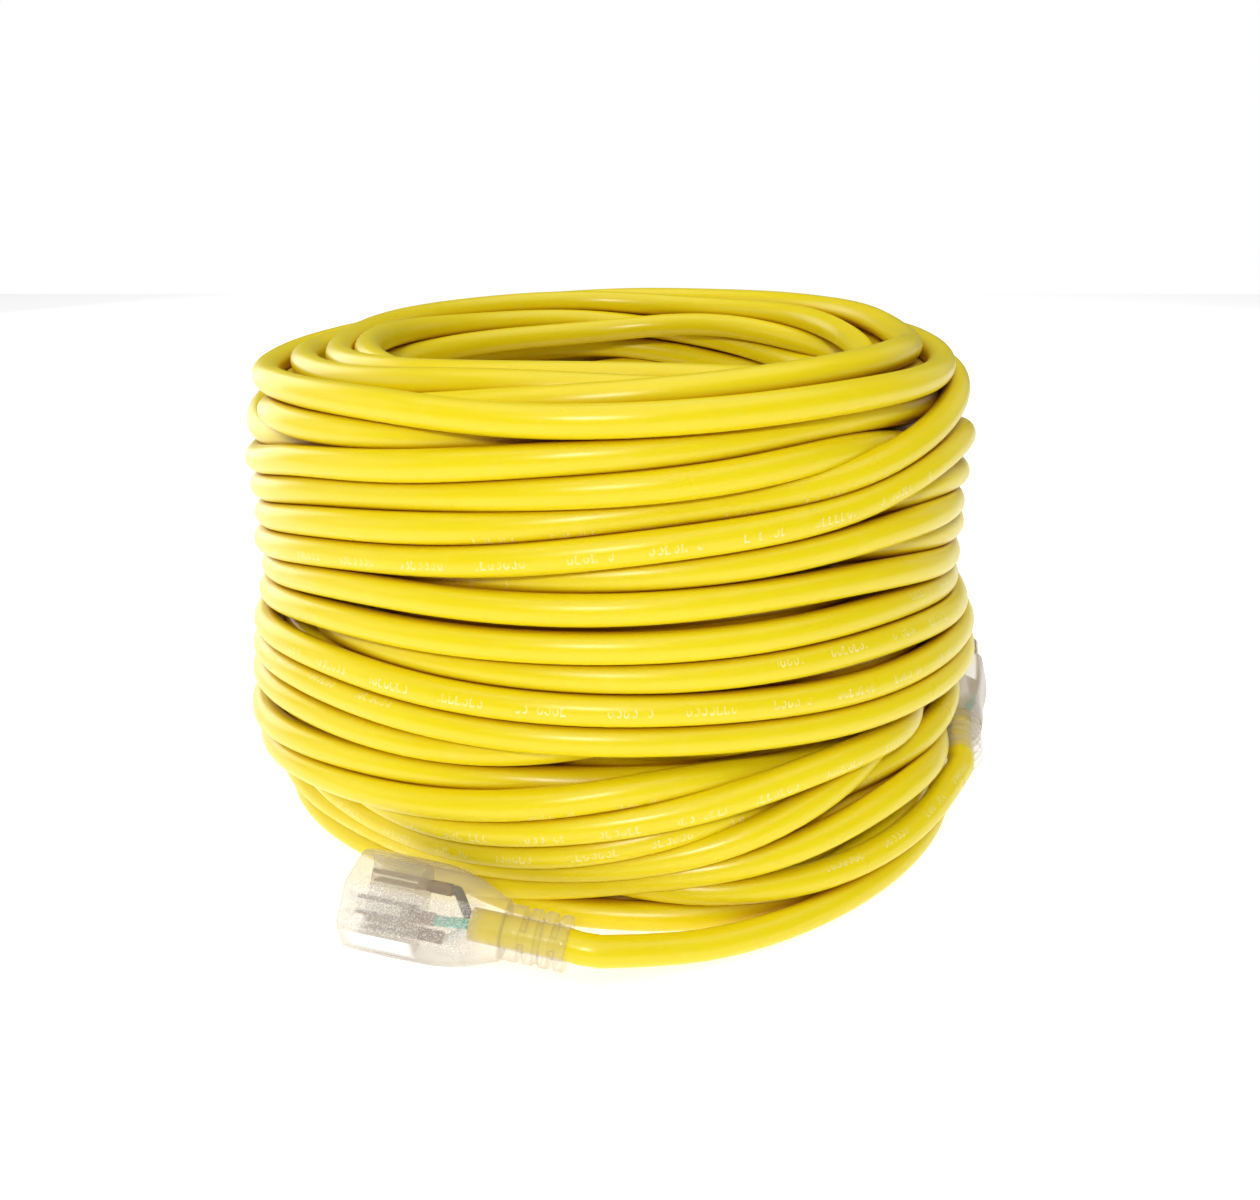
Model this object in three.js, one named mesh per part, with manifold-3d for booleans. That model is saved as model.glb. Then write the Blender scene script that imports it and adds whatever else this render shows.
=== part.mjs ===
// A coiled three-core extension cord with a clear moulded socket connector and a clear moulded plug.
// Millimetres, +Z up. The cord lies on the plane Z = 0 and the origin is under the middle of the object.
import * as THREE from "three";
import { mergeVertices } from "three/addons/utils/BufferGeometryUtils.js";
import Module from "manifold-3d";

const wasm = await Module();
wasm.setup();

// ---- driving dimensions ----
const CORD_DIAMETER = 8.4; // three-core round jacket, 3 x 1.31 mm2
const CORD_SIDES = 10;
const GAP = 0.3; // between solids that touch

// The coil's axis, seen from the middle of the whole object's box.
const COIL_AXIS = new THREE.Vector3(-6.9, 6.5, 0);
const COIL_SEGMENTS = 60;
// The wound coil's cross-section as [radius, height], up the outside and down the bore.
const COIL_SECTION = [
  [110, 0], [113.5, 7], [115, 20], [123, 32], [123.5, 56], [119.5, 82], [115.5, 110], [112, 136],
  [107, 147], [98, 154], [88, 154], [80, 147], [77, 136], [77, 14], [82, 0],
];

// Both moulded ends use one cross-section: flat on the earth side, slanted flanks, flat back.
const END_EARTH_SIDE = 9.8; // from the axis to the flat on the earth side
const END_BACK_SIDE = 11.5;
const END_HALF_WIDTH = 13.1;
const END_EARTH_HALF_FLAT = 5.6;
const END_BACK_HALF_FLAT = 9;
const END_STRAIGHT_SIDE = 7; // the flanks run straight from the axis back to here

// Contact places of a 15 A, 125 V earthed connection.
const BLADE_PITCH = 12.7;
const BLADE_LINE = -6; // the blades' line, from the axis towards the earth side
const EARTH_LINE = BLADE_LINE + 11.9;
const BLADE_WIDTH = 6.35;
const BLADE_THICKNESS = 1.5;
const BLADE_REACH = 17.5; // outside the plug's face
const BLADE_HOLE_RADIUS = 1.9;
const BLADE_TANG = 3.2; // width where the blade goes back to its crimp
const BLADE_HOLE_FROM_FACE = 11.7;
const EARTH_PIN_RADIUS = 2.4;
const EARTH_PIN_REACH = 20.6;

const SLOT_WIDTH = 2.0;
const LINE_SLOT_HEIGHT = 7.0;
const NEUTRAL_SLOT_HEIGHT = 8.2;
const EARTH_HOLE_RADIUS = 2.6;
const SLOT_MOUTH_DEPTH = 3.0;
const CHAMBER_WIDTH = 4.4;
const CHAMBER_HEIGHT = 8.6;
const EARTH_CHAMBER_DROP = 0.7; // the earth chamber sits this much nearer the blades than its hole
const LEAF_THICKNESS = 0.5;

const CRIMP_OUTER_RADIUS = 1.7;
const CRIMP_INNER_RADIUS = 1.2;
const CRIMP_LENGTH = 6;
const CRIMP_ROOM = 5.2; // the square room round a crimp and its bridge
const CORE_RADIUS = 0.8; // stranded copper
const WIRE_RADIUS = 1.35; // over the insulation
const WIRE_SPREAD = 2.1; // of the three wires where they leave the jacket

const RELIEF_RADIUS = 7.25;
const RELIEF_COLLAR = 4.6;
const RELIEF_RIB = 2.6;
const RELIEF_SLOT = 1.5;
const RELIEF_RIBS = 3;
const RELIEF_LENGTH = RELIEF_COLLAR + RELIEF_RIBS * (RELIEF_RIB + RELIEF_SLOT);

// The two ends, each with its face's centre in the coil's frame and its attitude in degrees.
// The long axis leaves the face along the end's own +X, and its +Y points to the earth side.
const CONNECTOR = {
  face: [-68.2, -118.8, 16.9], heading: 168.5, rise: 5.5, roll: 31,
  bodyLength: 42, jacketEnd: 33, insertLength: 17.5,
};
const PLUG = {
  face: [126.3, 8, 22.5], heading: 76.7, rise: 6.5, roll: 165,
  bodyLength: 36, jacketEnd: 29.5, insertLength: 10,
};

// How wide each end's body is at a depth behind its face, as a share of its full width.
const CONNECTOR_TAPER = [
  [0, 0.94], [1.6, 1], [19, 1], [25, 0.975], [30, 0.92], [34, 0.84], [38, 0.72], [42, 0.6],
];
const PLUG_TAPER = [
  [0, 0.96], [1.4, 1], [7, 1], [13, 0.95], [20, 0.85], [27, 0.73], [32, 0.64], [36, 0.58],
];

// ---- materials ----
const pvc = (color, roughness = 0.35, opacity = 1) =>
  new THREE.MeshStandardMaterial({ color, roughness, metalness: 0, opacity, transparent: opacity < 1 });
const metal = (color, roughness) => new THREE.MeshStandardMaterial({ color, roughness, metalness: 1 });

const jacketYellow = pvc("#f2cf12");
const clearMould = pvc("#ece6dc", 0.12, 0.35);
const milkyInsert = pvc("#e4dccf", 0.4, 0.6);
const blackInsulation = pvc("#16181a");
const whiteInsulation = pvc("#ece9e2");
const greenInsulation = pvc("#27b39a");
const brass = metal("#b58a4a", 0.35);
const copper = metal("#b8693a", 0.4);

// ---- solids ----
function solidOf(geometry) {
  const bare = geometry.clone();
  bare.deleteAttribute("normal");
  bare.deleteAttribute("uv");
  const welded = mergeVertices(bare, 1e-4);
  const vertProperties = new Float32Array(welded.attributes.position.array);
  const triVerts = new Uint32Array(welded.index.array);
  return new wasm.Manifold(new wasm.Mesh({ numProp: 3, vertProperties, triVerts }));
}

function geometryOf(solid) {
  const { vertProperties, triVerts } = solid.getMesh();
  const geometry = new THREE.BufferGeometry();
  geometry.setAttribute("position", new THREE.BufferAttribute(vertProperties, 3));
  geometry.setIndex(new THREE.BufferAttribute(triVerts, 1));
  return geometry;
}

const join = (...geometries) => geometryOf(geometries.map(solidOf).reduce((all, one) => all.add(one)));
const cut = (geometry, ...cutters) =>
  geometryOf(cutters.map(solidOf).reduce((rest, one) => rest.subtract(one), solidOf(geometry)));

function mesh(name, geometry, material) {
  const part = new THREE.Mesh(geometry, material);
  part.name = name;
  return part;
}

function disc(radius, sides) {
  const round = new THREE.Shape();
  for (let i = 0; i < sides; i++) {
    const angle = (2 * Math.PI * (i + 0.5)) / sides;
    round[i ? "lineTo" : "moveTo"](radius * Math.cos(angle), radius * Math.sin(angle));
  }
  round.closePath();
  return round;
}

// A round tube along a smooth curve through the points.
function tubeAlong(points, radius, sides, steps) {
  const path = new THREE.CatmullRomCurve3(points, false, "centripetal");
  return new THREE.ExtrudeGeometry(disc(radius, sides), { steps, extrudePath: path });
}

// Shapes inside an end are drawn looking at its face: the sheet's x is the end's +Z, its y the end's +Y.
// They are swept from near to far, both depths behind the face.
function sweptBack(shape, near, far, steps = 1) {
  const swept = new THREE.ExtrudeGeometry(shape, { depth: far - near, steps, bevelEnabled: false });
  return swept.translate(0, 0, near).rotateY(-Math.PI / 2);
}

function rodBack(radius, sides, across, up, near, far) {
  return sweptBack(disc(radius, sides), near, far).translate(0, up, across);
}

function boxBack(width, height, across, up, near, far) {
  const box = new THREE.BoxGeometry(far - near, height, width);
  return box.translate(-(near + far) / 2, up, across);
}

// The moulded ends' cross-section, grown or shrunk by a margin.
function endOutline(margin = 0) {
  const width = END_HALF_WIDTH + margin;
  const earth = END_EARTH_SIDE + margin;
  const back = -END_BACK_SIDE - margin;
  const halfFlat = END_EARTH_HALF_FLAT + margin / 2;
  const halfBack = END_BACK_HALF_FLAT + margin / 2;
  const outline = new THREE.Shape();
  outline.moveTo(-halfFlat, earth);
  outline.lineTo(-width, 0);
  outline.lineTo(-width, -END_STRAIGHT_SIDE);
  outline.lineTo(-halfBack, back);
  outline.lineTo(halfBack, back);
  outline.lineTo(width, -END_STRAIGHT_SIDE);
  outline.lineTo(width, 0);
  outline.lineTo(halfFlat, earth);
  outline.closePath();
  return outline;
}

// An end's outer shape: the outline swept back a step at a time and drawn in towards the cord.
function taperedBody(taper) {
  const length = taper[taper.length - 1][0];
  const body = sweptBack(endOutline(), 0, length, taper.length - 1);
  const at = body.attributes.position;
  for (let i = 0; i < at.count; i++) {
    const step = Math.round((-at.getX(i) / length) * (taper.length - 1));
    const [depth, share] = taper[step];
    at.setXYZ(i, -depth, at.getY(i) * share, at.getZ(i) * share);
  }
  return body;
}

// ---- pieces that both ends have ----
// Ends of the three wires: the places across and up at the contacts, and where they leave the jacket.
const wirePlaces = (lineSide) => [
  {
    role: "line", insulation: blackInsulation,
    contact: [(lineSide * BLADE_PITCH) / 2, BLADE_LINE],
    jacket: [lineSide * WIRE_SPREAD * 0.87, -WIRE_SPREAD / 2],
  },
  {
    role: "neutral", insulation: whiteInsulation,
    contact: [(-lineSide * BLADE_PITCH) / 2, BLADE_LINE],
    jacket: [-lineSide * WIRE_SPREAD * 0.87, -WIRE_SPREAD / 2],
  },
  { role: "ground", insulation: greenInsulation, contact: [0, EARTH_LINE], jacket: [0, WIRE_SPREAD] },
];

// A crimp barrel, open at both ends, behind a contact or blade.
function crimpBarrel([across, up], near) {
  const far = near + CRIMP_LENGTH;
  const outside = rodBack(CRIMP_OUTER_RADIUS, 12, across, up, near, far);
  const inside = rodBack(CRIMP_INNER_RADIUS, 12, across, up, near + 1, far + 1);
  return cut(outside, inside);
}

// The insulated wires from the crimps to the jacket, and the bare copper ends inside the crimps.
function wires(prefix, places, crimpNear, jacketEnd) {
  const crimpEnd = crimpNear + CRIMP_LENGTH;
  return places.flatMap(({ role, insulation, contact, jacket }) => {
    const [cx, cy] = contact;
    const [jx, jy] = jacket;
    const path = [
      [crimpEnd + GAP, cx, cy],
      [crimpEnd + 1.6, cx, cy],
      [(crimpEnd + jacketEnd) / 2, (cx + jx) / 2, (cy + jy) / 2],
      [jacketEnd - 1.6, jx, jy],
      [jacketEnd - GAP, jx, jy],
    ].map(([depth, across, up]) => new THREE.Vector3(-depth, up, across));
    const core = rodBack(CORE_RADIUS, 8, cx, cy, crimpNear + 1 + GAP, crimpEnd);
    return [
      mesh(`${prefix}_${role}_wire`, tubeAlong(path, WIRE_RADIUS, 10, 8), insulation),
      mesh(`${prefix}_${role}_core`, core, copper),
    ];
  });
}

// The clear body: solid round the insert, the wires and the jacket, so its cavity follows them.
function moulding(name, end, taper, insertOutline) {
  const crimpsFar = end.crimpNear + CRIMP_LENGTH;
  const wireRoom = end.places.map(({ contact, jacket }) => {
    const path = [
      [end.crimpNear - 2, ...contact], [crimpsFar + 1.6, ...contact],
      [end.jacketEnd - 1.6, ...jacket], [end.jacketEnd + 1, ...jacket],
    ].map(([depth, across, up]) => new THREE.Vector3(-depth, up, across));
    return tubeAlong(path, CRIMP_OUTER_RADIUS + 2 * GAP, 10, 10);
  });
  const insertRoom = sweptBack(insertOutline, -1, end.insertLength + GAP);
  const jacketBore = rodBack(CORD_DIAMETER / 2 + GAP, 20, 0, 0, end.jacketEnd - GAP, end.bodyLength + 1);
  const crimpRoom = end.places.map(({ contact: [across, up] }) =>
    boxBack(CRIMP_ROOM, CRIMP_ROOM, across, up, end.insertLength - 0.5, crimpsFar + GAP),
  );
  return mesh(name, cut(taperedBody(taper), insertRoom, jacketBore, ...crimpRoom, ...wireRoom), clearMould);
}

// The bend relief: a collar, then ribs joined by pairs of webs that turn a quarter from rib to rib.
function strainRelief(name, bodyLength) {
  const bore = CORD_DIAMETER / 2 + GAP;
  const start = bodyLength + GAP;
  const ring = (near, far) => rodBack(RELIEF_RADIUS, 24, 0, 0, near, far);
  const pieces = [ring(start, start + RELIEF_COLLAR)];
  let depth = start + RELIEF_COLLAR;
  for (let i = 0; i < RELIEF_RIBS; i++) {
    const web = i % 2 ? [2 * RELIEF_RADIUS - 1, 4] : [4, 2 * RELIEF_RADIUS - 1];
    pieces.push(boxBack(...web, 0, 0, depth - 0.5, depth + RELIEF_SLOT + 0.5));
    pieces.push(ring(depth + RELIEF_SLOT, depth + RELIEF_SLOT + RELIEF_RIB));
    depth += RELIEF_SLOT + RELIEF_RIB;
  }
  return mesh(name, cut(join(...pieces), rodBack(bore, 20, 0, 0, start - 1, depth + 1)), clearMould);
}

// ---- the connector's own pieces ----
CONNECTOR.places = wirePlaces(1);
CONNECTOR.crimpNear = CONNECTOR.insertLength + 1;
PLUG.places = wirePlaces(-1);
PLUG.crimpNear = PLUG.insertLength + 2;

const INSERT_MARGIN = -1.6; // the moulding's wall round each insert

function socketBlock() {
  const { insertLength } = CONNECTOR;
  const [line, neutral] = CONNECTOR.places.map(({ contact }) => contact[0]);
  const chamber = (across, up, width, height) =>
    boxBack(width, height, across, up, SLOT_MOUTH_DEPTH, insertLength + 1);
  return mesh(
    "connector_socket_block",
    cut(
      sweptBack(endOutline(INSERT_MARGIN), 0, insertLength),
      boxBack(SLOT_WIDTH, LINE_SLOT_HEIGHT, line, BLADE_LINE, -1, SLOT_MOUTH_DEPTH + 1),
      boxBack(SLOT_WIDTH, NEUTRAL_SLOT_HEIGHT, neutral, BLADE_LINE, -1, SLOT_MOUTH_DEPTH + 1),
      rodBack(EARTH_HOLE_RADIUS, 16, 0, EARTH_LINE, -1, SLOT_MOUTH_DEPTH + 1),
      chamber(line, BLADE_LINE, CHAMBER_WIDTH, CHAMBER_HEIGHT - 1),
      chamber(neutral, BLADE_LINE, CHAMBER_WIDTH, CHAMBER_HEIGHT - 1),
      chamber(0, EARTH_LINE - EARTH_CHAMBER_DROP, 5.2, 4.6),
    ),
    milkyInsert,
  );
}

// A brass contact: two spring leaves that a blade slides between, a bridge behind them, and the crimp.
function contact({ role, contact: [across, up] }) {
  const isEarth = role === "ground";
  const gripGap = isEarth ? 2 * EARTH_PIN_RADIUS - 1.4 : BLADE_THICKNESS;
  const height = isEarth ? 3.4 : BLADE_WIDTH;
  const leafNear = SLOT_MOUTH_DEPTH + GAP;
  const leafFar = CONNECTOR.insertLength - 1.5;
  const leafUp = isEarth ? up - EARTH_CHAMBER_DROP : up;
  const leaf = (side) => {
    const middle = across + side * (gripGap + LEAF_THICKNESS) / 2;
    return boxBack(LEAF_THICKNESS, height, middle, leafUp, leafNear, leafFar);
  };
  const bridgeWidth = gripGap + 2 * LEAF_THICKNESS;
  const bridge = boxBack(bridgeWidth, BLADE_TANG, across, leafUp, leafFar - 0.6, CONNECTOR.crimpNear + 0.5);
  return mesh(
    `connector_${role}_contact`,
    join(leaf(-1), leaf(1), bridge, crimpBarrel([across, up], CONNECTOR.crimpNear)),
    brass,
  );
}

// ---- the plug's own pieces ----
function bladeCarrier() {
  const { insertLength, places } = PLUG;
  const slots = places.map(({ role, contact: [across, up] }) =>
    role === "ground"
      ? rodBack(EARTH_PIN_RADIUS + GAP, 16, across, up, -1, insertLength + 1)
      : boxBack(BLADE_THICKNESS + 2 * GAP, BLADE_WIDTH + 2 * GAP, across, up, -1, insertLength + 1),
  );
  const carrier = cut(sweptBack(endOutline(INSERT_MARGIN), 0, insertLength), ...slots);
  return mesh("plug_blade_carrier", carrier, milkyInsert);
}

// A flat blade with bevelled corners at its tip and the usual hole.
function blade({ role, contact: [across, up] }) {
  const half = BLADE_WIDTH / 2;
  const shoulder = 1 - PLUG.insertLength;
  const tangEnd = -PLUG.crimpNear - 0.5;
  const side = new THREE.Shape();
  side.moveTo(tangEnd, -BLADE_TANG / 2);
  side.lineTo(shoulder, -BLADE_TANG / 2);
  side.lineTo(shoulder, -half);
  side.lineTo(BLADE_REACH - 1.6, -half);
  side.lineTo(BLADE_REACH, -half + 1.6);
  side.lineTo(BLADE_REACH, half - 1.6);
  side.lineTo(BLADE_REACH - 1.6, half);
  side.lineTo(shoulder, half);
  side.lineTo(shoulder, BLADE_TANG / 2);
  side.lineTo(tangEnd, BLADE_TANG / 2);
  side.closePath();
  const hole = new THREE.Path();
  hole.absarc(BLADE_HOLE_FROM_FACE, 0, BLADE_HOLE_RADIUS, 0, 2 * Math.PI, true);
  side.holes.push(hole);
  const sheet = { depth: BLADE_THICKNESS, bevelEnabled: false, curveSegments: 8 };
  const flat = new THREE.ExtrudeGeometry(side, sheet);
  flat.translate(0, up, across - BLADE_THICKNESS / 2);
  return mesh(`plug_${role}_blade`, join(flat, crimpBarrel([across, up], PLUG.crimpNear)), brass);
}

function earthPin({ contact: [across, up] }) {
  const tip = EARTH_PIN_REACH - EARTH_PIN_RADIUS;
  const root = -PLUG.crimpNear - 0.5;
  const outline = [[0, root], [EARTH_PIN_RADIUS, root], [EARTH_PIN_RADIUS, tip]];
  for (const angle of [30, 60]) {
    const turn = THREE.MathUtils.degToRad(angle);
    outline.push([EARTH_PIN_RADIUS * Math.cos(turn), tip + EARTH_PIN_RADIUS * Math.sin(turn)]);
  }
  outline.push([0, EARTH_PIN_REACH]);
  const pin = new THREE.LatheGeometry(outline.map(([r, z]) => new THREE.Vector2(r, z)), 16);
  pin.rotateZ(-Math.PI / 2).translate(0, up, across);
  return mesh("plug_ground_pin", join(pin, crimpBarrel([across, up], PLUG.crimpNear)), brass);
}

// ---- the two ends ----
function endGroup({ face, heading, rise, roll }, pieces) {
  const group = new THREE.Group();
  group.position.set(...face);
  group.rotation.set(...[roll, -rise, heading].map(THREE.MathUtils.degToRad), "ZYX");
  group.add(...pieces);
  group.updateMatrixWorld(true);
  return group;
}

const connector = endGroup(CONNECTOR, [
  moulding("connector_body", CONNECTOR, CONNECTOR_TAPER, endOutline(INSERT_MARGIN + GAP)),
  strainRelief("connector_strain_relief", CONNECTOR.bodyLength),
  socketBlock(),
  ...CONNECTOR.places.map(contact),
  ...wires("connector", CONNECTOR.places, CONNECTOR.crimpNear, CONNECTOR.jacketEnd),
]);

const plug = endGroup(PLUG, [
  moulding("plug_body", PLUG, PLUG_TAPER, endOutline(INSERT_MARGIN + GAP)),
  strainRelief("plug_strain_relief", PLUG.bodyLength),
  bladeCarrier(),
  ...PLUG.places.filter(({ role }) => role !== "ground").map(blade),
  earthPin(PLUG.places.find(({ role }) => role === "ground")),
  ...wires("plug", PLUG.places, PLUG.crimpNear, PLUG.jacketEnd),
]);

// A point on an end's axis, so far behind its face.
const onAxis = (end, depth) => end.localToWorld(new THREE.Vector3(-depth, 0, 0));

// ---- the cord ----
// A point at an angle round the coil from its front, positive to the right.
function around(degrees, radius, height) {
  const angle = THREE.MathUtils.degToRad(degrees);
  return new THREE.Vector3(radius * Math.sin(angle), -radius * Math.cos(angle), height);
}

// Each lead runs from its jacket's end inside the moulding to where it joins the coil's turns.
const connectorReliefEnd = CONNECTOR.bodyLength + RELIEF_LENGTH;
const CONNECTOR_LEAD = [
  onAxis(connector, CONNECTOR.jacketEnd),
  onAxis(connector, (CONNECTOR.jacketEnd + connectorReliefEnd) / 2),
  onAxis(connector, connectorReliefEnd),
  onAxis(connector, connectorReliefEnd + 9),
  around(5, 128.5, 6.6),
  around(14, 126.5, 4.4),
  around(24, 125, 4.2),
  around(34, 124.5, 4.2),
  around(44, 124, 4.2),
  around(54, 123, 4.3),
  around(64, 120.5, 4.5),
  around(74, 116, 4.8),
  around(84, 111, 5.2),
];
const plugReliefEnd = PLUG.bodyLength + RELIEF_LENGTH;
const PLUG_LEAD = [
  onAxis(plug, PLUG.jacketEnd),
  onAxis(plug, (PLUG.jacketEnd + plugReliefEnd) / 2),
  onAxis(plug, plugReliefEnd),
  onAxis(plug, plugReliefEnd + 6),
  around(62, 121.5, 15.6),
  around(54, 121.5, 14.9),
  around(46, 121.5, 14.4),
  around(38, 121.3, 13.9),
  around(30, 120.5, 13.4),
  around(22, 118, 13),
  around(14, 114, 13),
  around(6, 110, 13),
];

function coilRing() {
  const section = COIL_SECTION.map(([radius, height]) => new THREE.Vector2(radius, height));
  return new THREE.LatheGeometry([...section, section[0]], COIL_SEGMENTS).rotateX(Math.PI / 2);
}

// The room that the plug takes up in the coil's side, round its body, relief and blades.
function plugRoom() {
  const room = sweptBack(endOutline(1.2), -EARTH_PIN_REACH - 3, plugReliefEnd + 2);
  return room.applyMatrix4(plug.matrixWorld);
}

const leadGeometry = (points, radius, steps) => tubeAlong(points, radius, CORD_SIDES, steps);
const cordRadius = CORD_DIAMETER / 2;
const coil = cut(
  coilRing(),
  plugRoom(),
  leadGeometry(CONNECTOR_LEAD, cordRadius + 2 * GAP, 40),
  leadGeometry(PLUG_LEAD, cordRadius + 2 * GAP, 40),
);

const cord = new THREE.Group();
cord.add(
  mesh("cord_coil", coil, jacketYellow),
  mesh("connector_lead", leadGeometry(CONNECTOR_LEAD, cordRadius, 40), jacketYellow),
  mesh("plug_lead", leadGeometry(PLUG_LEAD, cordRadius, 40), jacketYellow),
  connector,
  plug,
);
cord.position.copy(COIL_AXIS);

const extensionCord = new THREE.Group();
extensionCord.add(cord);

export default extensionCord;
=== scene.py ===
import math

import bmesh
import bpy
import numpy as np
from mathutils import Matrix, Vector


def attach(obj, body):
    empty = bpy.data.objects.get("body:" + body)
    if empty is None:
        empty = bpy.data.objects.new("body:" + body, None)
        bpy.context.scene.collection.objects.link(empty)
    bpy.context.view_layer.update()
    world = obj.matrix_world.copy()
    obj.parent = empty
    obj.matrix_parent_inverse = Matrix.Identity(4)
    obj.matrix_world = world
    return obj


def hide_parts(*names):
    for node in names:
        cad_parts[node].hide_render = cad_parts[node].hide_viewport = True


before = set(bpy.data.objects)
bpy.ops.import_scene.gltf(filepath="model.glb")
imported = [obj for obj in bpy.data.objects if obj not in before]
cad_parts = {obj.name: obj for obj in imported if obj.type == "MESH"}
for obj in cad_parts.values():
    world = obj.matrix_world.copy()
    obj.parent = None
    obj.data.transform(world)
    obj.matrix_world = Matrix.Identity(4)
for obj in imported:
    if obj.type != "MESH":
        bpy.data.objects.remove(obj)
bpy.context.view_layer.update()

MM = 0.001

# ---- the same driving sizes as the CAD part, in millimetres ----
COIL_AXIS = np.array([-6.9, 6.5, 0.0])  # the coil's axis in the object's frame
CORD = 8.4
RADIUS = CORD / 2
TUBE_SIDES = 20
SHARP_ANGLE = math.radians(38)  # edges that turn more than this are creased
RELIEF_RADIUS = 7.25
RELIEF_COLLAR = 4.6
RELIEF_RIB = 2.6
RELIEF_SLOT = 1.5
RELIEF_RIBS = 3
RELIEF_LENGTH = RELIEF_COLLAR + RELIEF_RIBS * (RELIEF_RIB + RELIEF_SLOT)
GAP = 0.3
BLADE_PITCH = 12.7
BLADE_LINE = -6.0
EARTH_LINE = BLADE_LINE + 11.9
CRIMP_LENGTH = 6.0
WIRE_RADIUS = 1.35
WIRE_SPREAD = 2.1
INSERT_MARGIN = -1.6

CONNECTOR = dict(
    name="connector", face=(-68.2, -118.8, 16.9), heading=168.5, rise=5.5, roll=31, line_side=1,
    body=42, jacket_end=33, insert=17.5, crimp=18.5, milk=0.02,
    taper=[(0, .94), (1.6, 1), (19, 1), (25, .975), (30, .92), (34, .84), (38, .72), (42, .6)],
)
PLUG = dict(
    name="plug", face=(126.3, 8, 22.5), heading=76.7, rise=6.5, roll=165, line_side=-1,
    body=36, jacket_end=29.5, insert=10, crimp=12, milk=0.3,
    taper=[(0, .96), (1.4, 1), (7, 1), (13, .95), (20, .85), (27, .73), (32, .64), (36, .58)],
)


def attitude(end):
    """An end's own frame in the coil's: +X out of its face, +Y to the earth side, +Z across."""
    turn = Matrix.Rotation(math.radians(end["heading"]), 4, "Z")
    lift = Matrix.Rotation(math.radians(-end["rise"]), 4, "Y")
    roll = Matrix.Rotation(math.radians(end["roll"]), 4, "X")
    return Matrix.Translation(end["face"]) @ turn @ lift @ roll


def on_axis(end, depth):
    return np.array(attitude(end) @ Vector((-depth, 0, 0)))


def relief_end(end):
    """How far behind an end's face its bend relief stops."""
    return end["body"] + RELIEF_LENGTH


def around(degrees, radius, height):
    """A point at an angle round the coil from its front, positive to the right."""
    angle = np.radians(degrees)
    return np.array([radius * np.sin(angle), -radius * np.cos(angle), height])


# ---- camera ----
def make_camera():
    camera = bpy.data.objects.new("camera", bpy.data.cameras.new("camera"))
    camera.data.lens = 31.9
    camera.data.sensor_width = 36
    camera.data.clip_start = 0.01
    camera.location = (-0.00144, -0.3576, 0.2037)
    camera.rotation_euler = (math.radians(67.66), 0, 0)
    bpy.context.collection.objects.link(camera)
    bpy.context.scene.camera = camera
    return camera


CAMERA = make_camera()
EYE = np.array(CAMERA.location) / MM - COIL_AXIS

# ---- how the cord is wound ----
# The winding starts at the connector, lies once round the floor, climbs inside the coil, crosses the top
# and comes down outside to the plug. Angles go round from the front, in degrees, positive to the right.
STATIONS = 64  # places round the coil where the turns are laid
SPACING = CORD + 0.2  # aimed at between the middles of neighbouring turns
ROUNDS = 1100  # of relaxation
LAST_SMOOTHINGS = 4
STIFFNESS = 0.34
FALL, CREEP = 0.05, 0.03  # how far the turns drop, and draw in, in a round
MOST_PUSH = 1.5  # how far turns may push each other in a round
# How strongly goals pull, as the share of the way in a round.
INNER_PULL, GUIDE_PULL, SIDE_PULL, SUNK_PULL = 0.05, 0.2, 0.06, 0.10
SHOWN_HEIGHT_PULL, SHOWN_RADIUS_PULL = 0.45, 0.25
IN_VIEW = 64  # the angle to each side out to which the outer turns are seen well
INNER_TURNS = 16
INNER_CLIMB = [(0, 5), (12, 99), (16, 135)]  # (turns wound so far, height)
INNER_DEPTHS = (9.0, 17.5)  # how far turns of the two inner layers lie inside the outermost
FIRST_LEAD = {  # angle: (radius, height)
    -6: (130.6, 10.5), 5: (128.5, 6.6), 14: (125.5, 4.4), 24: (122.8, 4.2), 34: (121, 4.2),
    44: (120, 4.2), 54: (119, 4.3), 64: (117.5, 4.5), 74: (115, 4.8), 84: (111, 5.2),
}
LAST_LEAD = {
    6: (110, 13), 14: (114, 13), 22: (118, 13), 30: (120.5, 13.4), 38: (121.3, 13.9),
    46: (121.5, 14.4), 54: (121.5, 14.9), 62: (121.5, 15.6), 70: (122, 16.7),
}
# Turns that cross the top, in order, as angle: (radius, height).
TOP_TURNS = [
    {-90: (80, 134), -45: (84, 137), 0: (84, 139), 60: (84, 133), 90: (86, 130), 180: (94, 134.5)},
    {-150: (90, 139), -90: (77, 144), -45: (79, 144), 0: (80, 142.5), 45: (81, 139), 90: (82.5, 139),
     130: (90, 141), 180: (98, 144.5)},
    {-150: (96, 145), -90: (85, 142.6), -45: (84.5, 145.5), 0: (84.5, 148), 25: (86, 146),
     45: (87, 141.5), 90: (89, 136.5), 180: (99, 135.5)},
    {-150: (104, 138), -90: (97.8, 139.7), -45: (94, 144), 0: (92, 148), 25: (91.5, 147),
     45: (92, 143), 90: (95, 132), 180: (105, 133)},
    {-150: (105, 132), -90: (103, 131), -45: (101, 138), 0: (99.5, 145.5), 25: (97.5, 149),
     45: (95, 149), 90: (90.5, 145.5), 130: (93, 144), 180: (103, 142)},
]
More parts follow.
